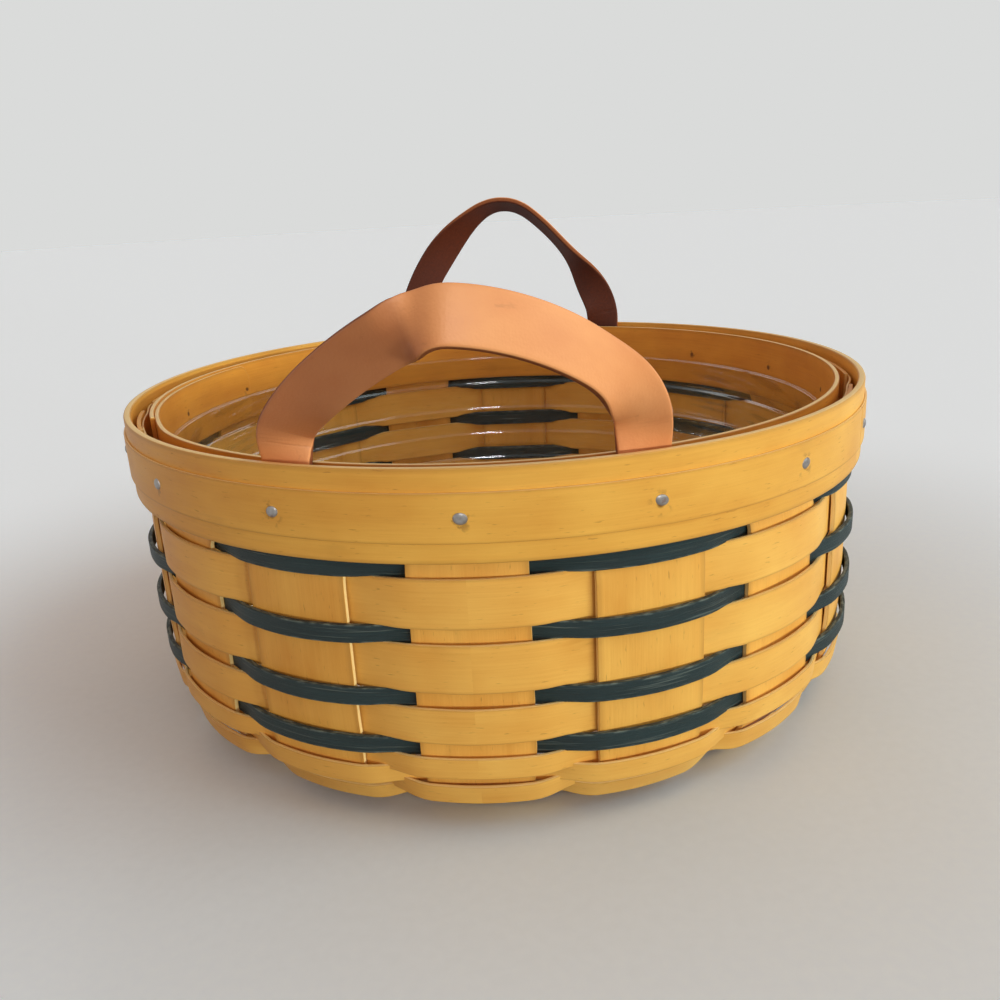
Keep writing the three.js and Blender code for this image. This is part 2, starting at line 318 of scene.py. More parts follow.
@dataclass(frozen=True)
class SplintWood(Look):
    """Thin stained maple with its grain along the strip."""

    light: Colour
    dark: Colour
    # Dark flecks; the same colour darkens the strips' long edges as painted shade.
    fleck: Colour = Colour(138, 82, 30)
    stain: Colour = Colour(84, 46, 18)
    # Side faces: the paler cut wood, brightened further as a painted highlight.
    cut: Colour = Colour(255, 224, 152)
    roughness: float = 0.4
    depth: float = 0.16 * MM
    marks: TackMarks | None = None

    def shade(self, p: Painter) -> Node:
        """Grain, flecks, painted shade along the edges, pale side faces brightened as a painted
        highlight, and the stains about tacks.
        """
        strip = p.strip()
        figure = p.noise(strip, (10, 150, 1), 3)
        fibre = p.noise(strip, (44, 1500, 1), 5, 0.65)
        cloud = p.noise(strip, (34, 60, 1), 3)
        fleck = p.noise(strip, (230, 1500, 1), 2).ease(0.64, 0.78)
        smudge = p.noise(strip, (35, 90, 1), 4).ease(0.6, 0.8)
        share = figure * 0.6 + fibre * 0.6 + cloud * 1.3 - 0.76
        colour = p.blend(share, self.dark, self.light)
        colour = p.blend(fleck * 0.42 + smudge * 0.16, colour, self.fleck)
        edge = p.attribute(Strip.EDGE)
        # Painted shade: a darker line along the strips' long edges, where rows meet.
        colour = p.blend(edge.ease(0.86, 1.0) * 0.3, colour, self.fleck)
        # The side faces are painted pale: partly the paler cut wood, partly a painted highlight.
        cut = edge.ease(0.95, 1.0) * (1 - abs(p.attribute(Strip.FACE)).ease(0.6, 0.95))
        colour = p.blend(cut * 0.8, colour, self.cut)
        if self.marks:
            colour = p.blend(self._pierced(p, strip), colour, self.stain)
        relief = figure * 0.5 + fibre * 0.5
        inputs = {
            "Base Color": colour,
            "Roughness": self.roughness + fibre * 0.14 + fleck * 0.1,
            "Normal": p.bump(relief, self.depth),
            "Specular IOR Level": SATIN,
        }
        return p.surface(inputs)

    def _pierced(self, p: Painter, strip: NodeSocket) -> Amount:
        """Dark holes where tacks come through, with a broken stain about them."""
        along, across, _ = p.parts(strip)
        wander = p.noise(strip, (90, 90, 1), 2) - 0.5
        run = (along - self.marks.first).wrapped(self.marks.spacing) + wander * 1.6 * MM
        rise = across - self.marks.across + wander * 2.2 * MM
        reach = (run**2 + rise**2) ** 0.5
        hole = 1 - reach.ease(self.marks.radius * 0.6, self.marks.radius * 1.3)
        spot = p.noise(strip, (420, 420, 1), 3).ease(0.53, 0.66)
        halo = (1 - reach.ease(self.marks.radius, self.marks.halo)) * spot
        return (hole * 0.85).most(halo * 0.5)


@dataclass(frozen=True)
class DyedSplint(Look):
    """Dark green dyed splint, worn pale and fibrous along its edges."""

    base: Colour = Colour(40, 62, 63)
    deep: Colour = Colour(14, 23, 23)
    # Pale worn fibres along streaks and frayed edges.
    wear_and_shade: Colour = Colour(120, 132, 122)
    depth: float = 0.45 * MM

    def shade(self, p: Painter) -> Node:
        """Dyed fibres, with worn streaks and frayed edges."""
        strip = p.strip()
        fibre = p.noise(strip, (70, 2400, 1), 5, 0.7)
        cloud = p.noise(strip, (28, 120, 1), 3)
        streak = p.noise(strip, (38, 1500, 1), 3).ease(0.56, 0.74)
        frayed = p.noise(strip, (300, 900, 1), 4).ease(0.42, 0.7)
        colour = p.blend(fibre * 1.1 + cloud * 0.8 - 0.5, self.deep, self.base)
        edge = p.attribute(Strip.EDGE).ease(0.72, 1.0)
        colour = p.blend(streak * 0.38 + edge * frayed * 0.75, colour, self.wear_and_shade)
        inputs = {
            "Base Color": colour,
            "Roughness": 0.45 + fibre * 0.2,
            "Specular IOR Level": SATIN,
            "Normal": p.bump(fibre * 0.6 + streak * 0.4, self.depth),
        }
        return p.surface(inputs)


@dataclass(frozen=True)
class StrapLeather(Look):
    """Vegetable-tanned strap: smooth grain face, dark flesh face and brown cut edges.

    One leg carries painted shade: it is darker up to the crease where the strap turns over.
    """

    tan: Colour = Colour(242, 171, 110)
    deep: Colour = Colour(206, 122, 68)
    flesh: Colour = Colour(106, 44, 17)
    cut: Colour = Colour(158, 92, 52)
    scuff: Colour = Colour(120, 62, 28)
    dark: Colour = Colour(60, 23, 9)
    # Painted shade on one leg: its colour, and where it starts and stops along the strap.
    wear_and_shade: Colour = Colour(112, 42, 22)
    painted_leg_shade_from: float = 29 * MM
    painted_leg_shade_to: float = 84 * MM
    foot_fade: float = 5 * MM
    crease_fade: float = 2 * MM
    depth: float = 0.12 * MM

    def shade(self, p: Painter) -> Node:
        """Grain outside, flesh inside, and painted shade on one leg."""
        strip = p.strip()
        mottle = p.noise(strip, (55, 90, 1), 4)
        cloud = p.noise(strip, (14, 30, 1), 2)
        pore = p.cells(strip, (1500, 1500, 1))
        nap = p.noise(strip, (900, 900, 1), 4, 0.7)
        scuff = p.noise(strip, (120, 260, 1), 5, 0.6).ease(0.62, 0.76)
        crease = p.attribute(StrapHandle.CREASE)
        wrinkle = p.noise(strip, (420, 40, 1), 2).ease(0.5, 0.75) * crease
        grain = p.blend(mottle * 0.7 + cloud * 0.7 - 0.2, self.deep, self.tan)
        # Painted shade: the leg is darkened from near its foot up to the crease.
        along = p.parts(strip)[0] + (mottle - 0.5) * 2 * MM
        start, end = self.painted_leg_shade_from, self.painted_leg_shade_to
        painted_leg_shade = along.ease(start - self.foot_fade, start + self.foot_fade)
        painted_leg_shade *= 1 - along.ease(end - self.crease_fade, end + self.crease_fade)
        grain = p.blend(painted_leg_shade * (0.32 + cloud * 0.2), grain, self.wear_and_shade)
        grain = p.blend(scuff * 0.22 + wrinkle * 0.2, grain, self.scuff)
        inner = p.blend(nap * 0.8 + cloud * 0.3 - 0.25, self.dark, self.flesh)
        face = p.attribute(Strip.FACE)
        outside = face.ease(0.3, 0.9)
        colour = p.blend(outside, inner, grain)
        cut = face.ease(-0.9, -0.2) * (1 - outside)
        colour = p.blend(cut * (0.3 + nap * 0.7), colour, self.cut)
        rough = 1 - outside
        relief = pore * 0.25 * (1 - rough) + nap * (0.2 + rough * 0.8) - wrinkle * 1.1
        inputs = {
            "Base Color": colour,
            "Roughness": 0.4 + mottle * 0.14 + rough * 0.32 + cut * 0.25,
            "Specular IOR Level": SATIN,
            "Normal": p.bump(relief, self.depth),
        }
        return p.surface(inputs)


@dataclass(frozen=True)
class TackSteel(Look):
    """Dull steel of the tack heads, with spots of rust."""

    bright: Colour = Colour(190, 186, 182)
    dull: Colour = Colour(114, 108, 104)
    rust: Colour = Colour(106, 62, 36)
    depth: float = 0.12 * MM

    def shade(self, p: Painter) -> Node:
        """Tarnish and rust."""
        place = p.place()
        tarnish = p.noise(place, (700, 700, 700), 3)
        rust = p.noise(place, (420, 420, 420), 4).ease(0.56, 0.7)
        colour = p.blend(tarnish, self.dull, self.bright)
        colour = p.blend(rust * 0.55, colour, self.rust)
        inputs = {
            "Base Color": colour,
            "Metallic": 0.9 - rust * 0.6,
            "Roughness": 0.34 + tarnish * 0.2 + rust * 0.25,
            "Normal": p.bump(tarnish, self.depth),
        }
        return p.surface(inputs)


@dataclass(frozen=True)
class ClearPlastic(Look):
    """Thin clear plastic: see-through, with gloss that grows towards grazing views."""

    gloss: Colour = Colour(250, 251, 252)
    sheen: float = 0.5
    most: float = 0.34
    scratches: float = 0.012
    index: float = 1.45

    def shade(self, p: Painter) -> Node:
        """Clear film under a mirror that shows most at grazing views."""
        scratch = p.noise(p.place(), (40, 40, 900), 4).ease(0.6, 0.75)
        grazing = Amount(p, p.node("ShaderNodeFresnel", None, {"IOR": self.index}).outputs[0])
        inputs = {"Base Color": self.gloss, "Metallic": 1.0, "Roughness": 0.05 + scratch * 0.08}
        film = p.surface(inputs)
        clear = p.node("ShaderNodeBsdfTransparent")
        share = (grazing * self.sheen).least(self.most) + scratch * self.scratches
        return p.mix(share, clear, film)


@dataclass(frozen=True)
class StudioPaper(Look):
    """Pale matt paper of the floor, which throws less light back at the basket than it shows."""

    light: Colour = Colour(236, 246, 254)
    shaded: Colour = Colour(230, 240, 248)
    # Painted shadow: the glow fades to this near the basket, between these two distances from its
    # axis.
    painted_shadow_emission: Colour = Colour(0, 0, 0)
    thrown: Colour = Colour(84, 82, 80)
    glow: float = 0.22
    painted_shadow_inner: float = 0.1
    painted_shadow_outer: float = 0.4
    roughness: float = 0.9

    def shade(self, p: Painter) -> Node:
        """Paper as it is seen, its glow fading out near the basket as a painted shadow, and darker
        paper as it lights the basket.
        """
        place = p.place()
        tooth = p.noise(place, (300, 300, 300), 3)
        x, y, _ = p.parts(place)
        away = (x**2 + y**2) ** 0.5
        # Painted shadow: no glow near the basket, full glow past the outer distance.
        past_painted_shadow = away.ease(self.painted_shadow_inner, self.painted_shadow_outer)
        inputs = {
            "Base Color": p.blend(tooth, self.shaded, self.light),
            "Roughness": self.roughness,
            "Specular IOR Level": 0.0,
            "Emission Color": p.blend(past_painted_shadow, self.painted_shadow_emission, self.light),
            "Emission Strength": self.glow,
        }
        paper = p.surface(inputs)
        thrown = p.surface({"Base Color": self.thrown, "Roughness": self.roughness})
        return p.mix(p.seen(), thrown, paper)


class Finish(Enum):
    """Named finishes, each with its own material."""

    UPRIGHT = "upright_wood"
    WEAVER = "weaver_wood"
    ACCENT = "accent_wood"
    BAND = "band_wood"
    STRAP = "strap_leather"
    TACK = "tack_steel"
    LINER = "liner_plastic"


def add_object(name: str, data: ID) -> Object:
    """Adds an object to the scene."""
    made = bpy.data.objects.new(name, data)
    bpy.context.scene.collection.objects.link(made)
    return made


def add_mesh(maker: BMesh, name: str, material: Material) -> Object:
    """Turns a finished bmesh into an object, and frees it."""
    mesh = bpy.data.meshes.new(name)
    maker.to_mesh(mesh)
    maker.free()
    mesh.materials.append(material)
    return add_object(name, mesh)


def add_piece(maker: BMesh, name: str, material: Material) -> Object:
    """Turns a finished bmesh into a shaded piece of the basket.

    Args:
        maker: the mesh, freed here.
        name: the object's name.
        material: its look.

    Returns:
        The object, at the origin.
    """
    for face in maker.faces:
        face.smooth = True
    piece = add_mesh(maker, name, material)
    LOG.info("%s: %d faces", name, len(piece.data.polygons))
    return piece


def add_to_basket(piece: Object, node: str) -> None:
    """Lets a piece ride the basket in the place of a CAD node."""
    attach(piece, "basket")
    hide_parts(node)


Placing = Callable[[float, float, float], Vector]
Marking = Callable[[BMesh], None]


@dataclass
class Strip:
    """A flat strip of wood or leather, bent to shape by a placing of its shares.

    The placing takes the share along (0 to 1), the share across (-1 to 1) and the side (-1 inside,
    1 outside), and gives the point in metres.
    """

    UV = "grain"
    EDGE = "edge"
    FACE = "face"
    END_FACE = 0.9999  # share along past which a face closes an end
    WELD = 0.005 * MM
    SQUARE_CORNER = 0.9  # radians

    name: str
    place: Placing
    length: float
    width: float
    thickness: float
    steps: int
    ribs: int = 6
    closed: bool = False
    round_edge: float = 0.3 * MM
    grain_start: float = 0.0

    def bend(self) -> BMesh:
        """Makes the strip's mesh: a grid, thickened, bent to place and rounded at its edges."""
        maker = bmesh.new()
        grain = maker.loops.layers.uv.new(self.UV)
        edge = maker.verts.layers.float.new(self.EDGE)
        side = maker.verts.layers.float.new(self.FACE)
        bmesh.ops.create_grid(maker, x_segments=self.steps, y_segments=self.ribs, size=1)
        grown = bmesh.ops.extrude_face_region(maker, geom=maker.faces[:], use_keep_orig=True)
        upper = [item for item in grown["geom"] if isinstance(item, BMVert)]
        bmesh.ops.translate(maker, verts=upper, vec=(0, 0, 1))
        if self.closed:
            middles = [(face, abs(face.calc_center_median().x)) for face in maker.faces]
            ends = [face for face, middle in middles if middle > self.END_FACE]
            bmesh.ops.delete(maker, geom=ends, context="FACES_ONLY")
        for face in maker.faces:
            for loop in face.loops:
                x, y, z = loop.vert.co
                across = y * self.width / 2 + z * self.thickness
                loop[grain].uv = (self.grain_start + (x + 1) / 2 * self.length, across)
        for vert in maker.verts:
            x, y, z = vert.co
            vert[edge] = abs(y)
            vert[side] = 2 * z - 1
            vert.co = self.place((x + 1) / 2, y, 2 * z - 1)
        if self.closed:
            bmesh.ops.remove_doubles(maker, verts=maker.verts[:], dist=self.WELD)
        bmesh.ops.recalc_face_normals(maker, faces=maker.faces[:])
        self._soften(maker)
        return maker

    def _soften(self, maker: BMesh) -> None:
        """Rounds the strip's square corners."""
        folds = [edge for edge in maker.edges if edge.is_manifold]
        corners = [edge for edge in folds if edge.calc_face_angle() > self.SQUARE_CORNER]
        bmesh.ops.bevel(
            maker,
            geom=corners,
            offset=self.round_edge,
            offset_type="OFFSET",
            affect="EDGES",
            segments=2,
            profile=0.5,
            material=-1,
            clamp_overlap=True,
        )

    def make(self, material: Material, mark: Marking | None = None) -> Object:
        """Makes the strip's object, shaded evenly across its flats.

        Args:
            material: its look.
            mark: puts more marks on its mesh.

        Returns:
            The object.
        """
        maker = self.bend()
        if mark:
            mark(maker)
        piece = add_piece(maker, self.name, material)
        piece.modifiers.new("even_flats", "WEIGHTED_NORMAL").keep_sharp = False
        return piece


@dataclass
class WallLine:
    """Middle line of an upright, by its length from the foot of the outer band to the axis."""

    upright_thickness: float = 1.3 * MM
    bulge: float = 1.3 * MM
    ease_drop: float = 5.4 * MM  # height over which the wall swells
    corner: float = 22 * MM

    @cached_property
    def band_foot(self) -> float:
        """Height of the outer band's lower edge."""
        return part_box("outer_band")[0].z

    @cached_property
    def rim_top(self) -> float:
        """Height of the outer band's upper edge."""
        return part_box("outer_band")[1].z

    @cached_property
    def wall_radius(self) -> float:
        """Radius of the straight wall, from the splint that crosses along X."""
        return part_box("upright_splint_5")[1].x - self.upright_thickness / 2

    @cached_property
    def base_level(self) -> float:
        """Height of the base, half way between the two sides of the last weaver."""
        return level_and_height("narrow_weaver_6")[0]

    @property
    def rim_radius(self) -> float:
        """Radius between the rim's bands."""
        return self.wall_radius - self.bulge

    @property
    def ease_length(self) -> float:
        """Length over which the wall swells below the band."""
        return math.hypot(self.bulge, self.ease_drop)

    @property
    def wall_end(self) -> float:
        """Length at which the bend starts."""
        straight = self.band_foot - self.ease_drop - self.base_level - self.corner
        return self.ease_length + straight

    @property
    def bend_end(self) -> float:
        """Length at which the base starts."""
        return self.wall_end + self.corner * math.pi / 2

    @property
    def axis_length(self) -> float:
        """Length at the basket's axis."""
        return self.bend_end + self.wall_radius - self.corner

    def at(self, length: float) -> tuple[float, float, float]:
        """Radius, height and turn from upright at a length down the line."""
        if length <= 0:
            return self.rim_radius, self.band_foot - length, 0.0
        if length <= self.ease_length:
            swell = self.bulge * ease(length, 0, self.ease_length)
            drop = self.ease_drop * length / self.ease_length
            return self.rim_radius + swell, self.band_foot - drop, 0.0
        if length <= self.wall_end:
            height = self.band_foot - self.ease_drop - length + self.ease_length
            return self.wall_radius, height, 0.0
        turn = min((length - self.wall_end) / self.corner, math.pi / 2)
        radius = self.wall_radius - self.corner * (1 - math.cos(turn))
        radius -= max(length - self.bend_end, 0)
        return radius, self.base_level + self.corner * (1 - math.sin(turn)), turn


@dataclass(frozen=True)
class WeaverRow:
    """One woven row.

    Its middle is a length down the wall and its lean is its own turn from upright. Its contact is
    how far its middle line lies from the uprights' at their edges, and its belly is what it adds at
    their middles.
    """

    node: str
    middle: float
    width: float
    thickness: float
    contact: float
    outside_even: bool
    lean: float = 0.0
    belly: float = 0.0
    finish: Finish = Finish.WEAVER


@dataclass
class Weave:
    """Uprights and weavers."""

    line: WallLine
    materials: dict[Finish, Material]
    upright_width: float = 31.75 * MM
    upright_round: float = 0.16 * MM
    upright_steps: int = 150
    waist_width: float = 13.5 * MM
    waist_radius: float = 36 * MM
    waist_thickness: float = 0.8 * MM
    layer_gap: float = 0.1 * MM
    crossing_ramp: float = 28 * MM
    upright_drop: float = 3.4 * MM
    rim_weaver_drop: float = 2.6 * MM
    rim_lean: float = 1.6 * MM
    rim_reach: float = 18 * MM  # above the band's foot, where the lean is full
    push: float = 0.6 * MM
    push_reach: float = 12 * MM  # over which the push comes and goes
    ripple: float = 0.12 * MM
    ripple_rate: float = 60  # radians for each metre
    flat_lean: float = 1.56  # past which a splint lies flat on the base
    grain_step: float = 1.7  # metres of grain from one splint to the next
    strap_uprights: tuple[int, ...] = (1, 7, 9, 15)
    strap_clear: tuple[float, float] = (0.45, 0.8)  # steps from a strap
    weaver_thickness: float = 1.1 * MM
    accent_thickness: float = 1.5 * MM
    weaver_round: float = 0.26 * MM
    weaver_steps: int = 20  # for each upright
    weaver_wave: float = 0.1 * MM
    swelling: tuple[float, float] = (0.85, 1.15)  # least and most of a belly
    release: float = 0.03  # steps inside an upright's edge where contact ends
    narrow_rows: int = 6
    bend_rows: int = 3
    narrow_width: float = 5.8 * MM
    narrow_pitch: float = 4.8 * MM
    base_pitch: float = 7.4 * MM
    narrow_lean: float = 0.4  # share of the bend's own lean
    narrow_easing: tuple[int, int] = (2, 5)  # rows between steep and flat
    contact_gap: float = 0.02 * MM
    edge_crowding: float = 0.14 * MM
    outside_crowding: float = 0.16 * MM
    inside_crowding: float = 0.9 * MM
    crossing: tuple[float, float] = (0.38, 0.49)  # steps from an upright
    wide_belly: float = 1.2 * MM
    accent_belly: float = 1.1 * MM
    narrow_belly: float = 0.5 * MM
    rim_weaver_thickness: float = 0.8 * MM
    rim_weaver_contact: float = 1.12 * MM
    seed: int = 7
    draws: random.Random = field(init=False)

    def __post_init__(self) -> None:
        """Starts the weave's own random draws."""
        self.draws = random.Random(self.seed)

    @property
    def waist_start(self) -> float:
        """Length at which a splint reaches its narrow crossing."""
        return self.line.axis_length - self.waist_radius

    def splint_width(self, length: float) -> float:
        """Width of a splint, which narrows from the bend to its waist."""
        share = (length - self.line.wall_end) / (self.waist_start - self.line.wall_end)
        share = min(max(share, 0.0), 1.0)
        return self.upright_width + (self.waist_width - self.upright_width) * share

    def rim_shift(self, azimuth: float) -> float:
        """How far the tops press out to the band, which they don't where a strap lies between."""
        nearest = min(
            abs(math.remainder(azimuth - FRONT - upright * PITCH, 2 * math.pi))
            for upright in self.strap_uprights
        )
        near, clear = self.strap_clear
        return self.rim_lean * ease(nearest, near * PITCH, clear * PITCH)

    def contact(self, thickness: float) -> float:
        """Distance between the middle lines of a weaver and an upright that touch."""
        return (thickness + self.line.upright_thickness) / 2 + self.contact_gap

    def crowded(self, apart: float, facing: int) -> float:
        """How much wider a row is than its share, on each of its edges.

        Rows overlap most inside the uprights and meet edge to edge where they cross.

        Args:
            apart: steps from the nearest upright, up to a half.
            facing: 1 where the row passes outside that upright, -1 where it passes inside.

        Returns:
            The added width.
        """
        most = self.outside_crowding if facing > 0 else self.inside_crowding
        return self.edge_crowding + most * (1 - ease(apart, *self.crossing))

    def pushed(self, steps: float, length: float) -> float:
        """How far the wide weavers push the odd uprights out and draw the even ones in."""
        end = self.line.wall_end
        where = ease(length, 0, self.push_reach) * (1 - ease(length, end - self.push_reach, end))
        return -self.push * math.cos(math.pi * steps) * where

    def build(self) -> None:
        """Makes every splint and weaver."""
        for splint in range(UPRIGHTS // 2):
            self._add_splint(splint)
        for row in self._rows():
            self._add_weaver(row)

    def _add_splint(self, splint: int) -> None:
        """Makes one splint: down the wall, through its layer under the base and up again."""
        line = self.line
        turn = FRONT + splint * PITCH
        ahead = Vector((math.cos(turn), math.sin(turn), 0))
        beside = Vector((-math.sin(turn), math.cos(turn), 0))
        top = line.band_foot - line.rim_top + self.upright_drop
        half = line.axis_length - top
        layer = self.waist_thickness / 2 + splint * (self.waist_thickness + self.layer_gap)
        phase = self.draws.uniform(0, 2 * math.pi)

        def place(along: float, across: float, side: float) -> Vector:
            """Point of the splint."""
            run = (2 * along - 1) * half
            length = line.axis_length - abs(run)
            way = 1.0 if run < 0 else -1.0
            radius, height, lean = line.at(length)
            climb = ease(length, self.waist_start - self.crossing_ramp, self.waist_start)
            thinning = self.waist_thickness - line.upright_thickness
            thickness = line.upright_thickness + thinning * climb
            offset = across * self.splint_width(length) / 2
            bow = 0.0
            if lean < self.flat_lean:
                bow = radius - math.sqrt(max(radius**2 - offset**2, 0))
            lift = side * thickness / 2
            shift = self.rim_shift(turn if way > 0 else turn + math.pi)
            shift = shift * ease(-length, 0, self.rim_reach) + self.pushed(splint, length)
            reach = radius + shift + (lift - bow) * math.cos(lean)
            level = height - lift * math.sin(lean)
            level += (layer - line.base_level) * climb
            level += self.ripple * math.sin(run * self.ripple_rate + phase) * (1 - climb)
            return ahead * (way * reach) + beside * offset + Vector((0, 0, level))

        node = f"upright_splint_{splint + 1}"
        strip = Strip(
            name=f"{node}_strip",
            place=place,
            length=2 * half,
            width=self.upright_width,
            thickness=line.upright_thickness,
            steps=self.upright_steps,
            ribs=8,
            round_edge=self.upright_round,
            grain_start=splint * self.grain_step,
        )
        add_to_basket(strip.make(self.materials[Finish.UPRIGHT]), node)

    def _rows(self) -> list[WeaverRow]:
        """Every row from the rim down, and the one between the rim's bands."""
        names = [f"{kind}_weaver_{pair}" for pair in (1, 2, 3) for kind in ("accent", "wide")]
        names.append("accent_weaver_4")
        rows = [self._wall_row(node, place % 2 == 1) for place, node in enumerate(names)]
        rows += [self._narrow_row(row) for row in range(self.narrow_rows)]
        level, height = level_and_height("rim_weaver")
        rim_row = WeaverRow(
            node="rim_weaver",
            middle=self.line.band_foot - level + self.rim_weaver_drop / 2,
            width=height - self.rim_weaver_drop,
            thickness=self.rim_weaver_thickness,
            contact=self.rim_weaver_contact,
            outside_even=True,
        )
        return [*rows, rim_row]

    def _wall_row(self, node: str, outside_even: bool) -> WeaverRow:
        """Accent or wide row, at its node's height and of its node's width."""
        line = self.line
        level, height = level_and_height(node)
        accent = node.startswith("accent")
        thickness = self.accent_thickness if accent else self.weaver_thickness
        return WeaverRow(
            node=node,
            middle=line.band_foot - level + line.ease_length - line.ease_drop,
            width=height,
            thickness=thickness,
            contact=self.contact(thickness),
            outside_even=outside_even,
            belly=self.accent_belly if accent else self.wide_belly,
            finish=Finish.ACCENT if accent else Finish.WEAVER,
        )

    def _narrow_row(self, row: int) -> WeaverRow:
        """Narrow row round the bend; the upper ones stand steeper than the bend, as a hoop does."""
        line = self.line
        on_bend, on_base = min(row, self.bend_rows), max(row - self.bend_rows, 0)
        middle = line.wall_end + self.narrow_width / 2
        middle += on_bend * self.narrow_pitch + on_base * self.base_pitch
        wall_lean = line.at(middle)[2]
        lying = ease(row, *self.narrow_easing)
        lean = wall_lean * (self.narrow_lean + (1 - self.narrow_lean) * lying)
        stand_off = self.narrow_width / 2 * math.sin(wall_lean - lean)
        dip = self.narrow_width**2 / 8 / line.corner
        return WeaverRow(
            node=f"narrow_weaver_{row + 1}",
            middle=middle,
            width=self.narrow_width,
            thickness=self.weaver_thickness,
            contact=self.contact(self.weaver_thickness) + stand_off + dip,
            outside_even=row % 2 == 0,
            lean=lean,
            belly=self.narrow_belly,
        )

    def _add_weaver(self, row: WeaverRow) -> None:
        """Makes one weaver: a closed strip that passes outside and inside the uprights in turn."""
        line = self.line
        radius, height, wall_lean = line.at(row.middle)
        in_rim = row.node == "rim_weaver"
        swell = [self.draws.uniform(*self.swelling) for _ in range(UPRIGHTS)]
        phase = self.draws.uniform(0, 2 * math.pi)
        start = self.draws.uniform(0, 1)
        hold = self.splint_width(row.middle) / 2 / (radius * PITCH) - self.release

        def place(along: float, across: float, side: float) -> Vector:
            """Point of the weaver."""
            steps = along * UPRIGHTS
            upright = round(steps)
            apart = abs(steps - upright)
            facing = 1 if (upright % 2 == 0) == row.outside_even else -1
            free = min(max((apart - hold) / (0.5 - hold), 0.0), 1.0)
            belly = row.belly * swell[upright % UPRIGHTS] * math.cos(math.pi * apart) ** 2
            lift = facing * (row.contact * math.cos(math.pi / 2 * free) + belly)
            azimuth = FRONT + steps * PITCH
            crowd = 0.0 if in_rim else self.crowded(apart, facing)
            down = across * (row.width / 2 + crowd)
            face = side * row.thickness / 2
            reach = radius + lift * math.cos(wall_lean) - down * math.sin(row.lean)
            level = height - lift * math.sin(wall_lean) - down * math.cos(row.lean)
            reach += face * math.cos(row.lean)
            level -= face * math.sin(row.lean)
            level += self.weaver_wave * math.sin(3 * azimuth + phase)
            reach += self.rim_shift(azimuth) if in_rim else self.pushed(steps, row.middle)
            return polar(reach, azimuth, level)

        strip = Strip(
            name=f"{row.node}_strip",
            place=place,
            length=2 * math.pi * radius,
            width=row.width,
            thickness=row.thickness,
            steps=UPRIGHTS * self.weaver_steps,
            ribs=4,
            closed=True,
            round_edge=self.weaver_round,
            grain_start=start,
        )
        add_to_basket(strip.make(self.materials[row.finish]), row.node)


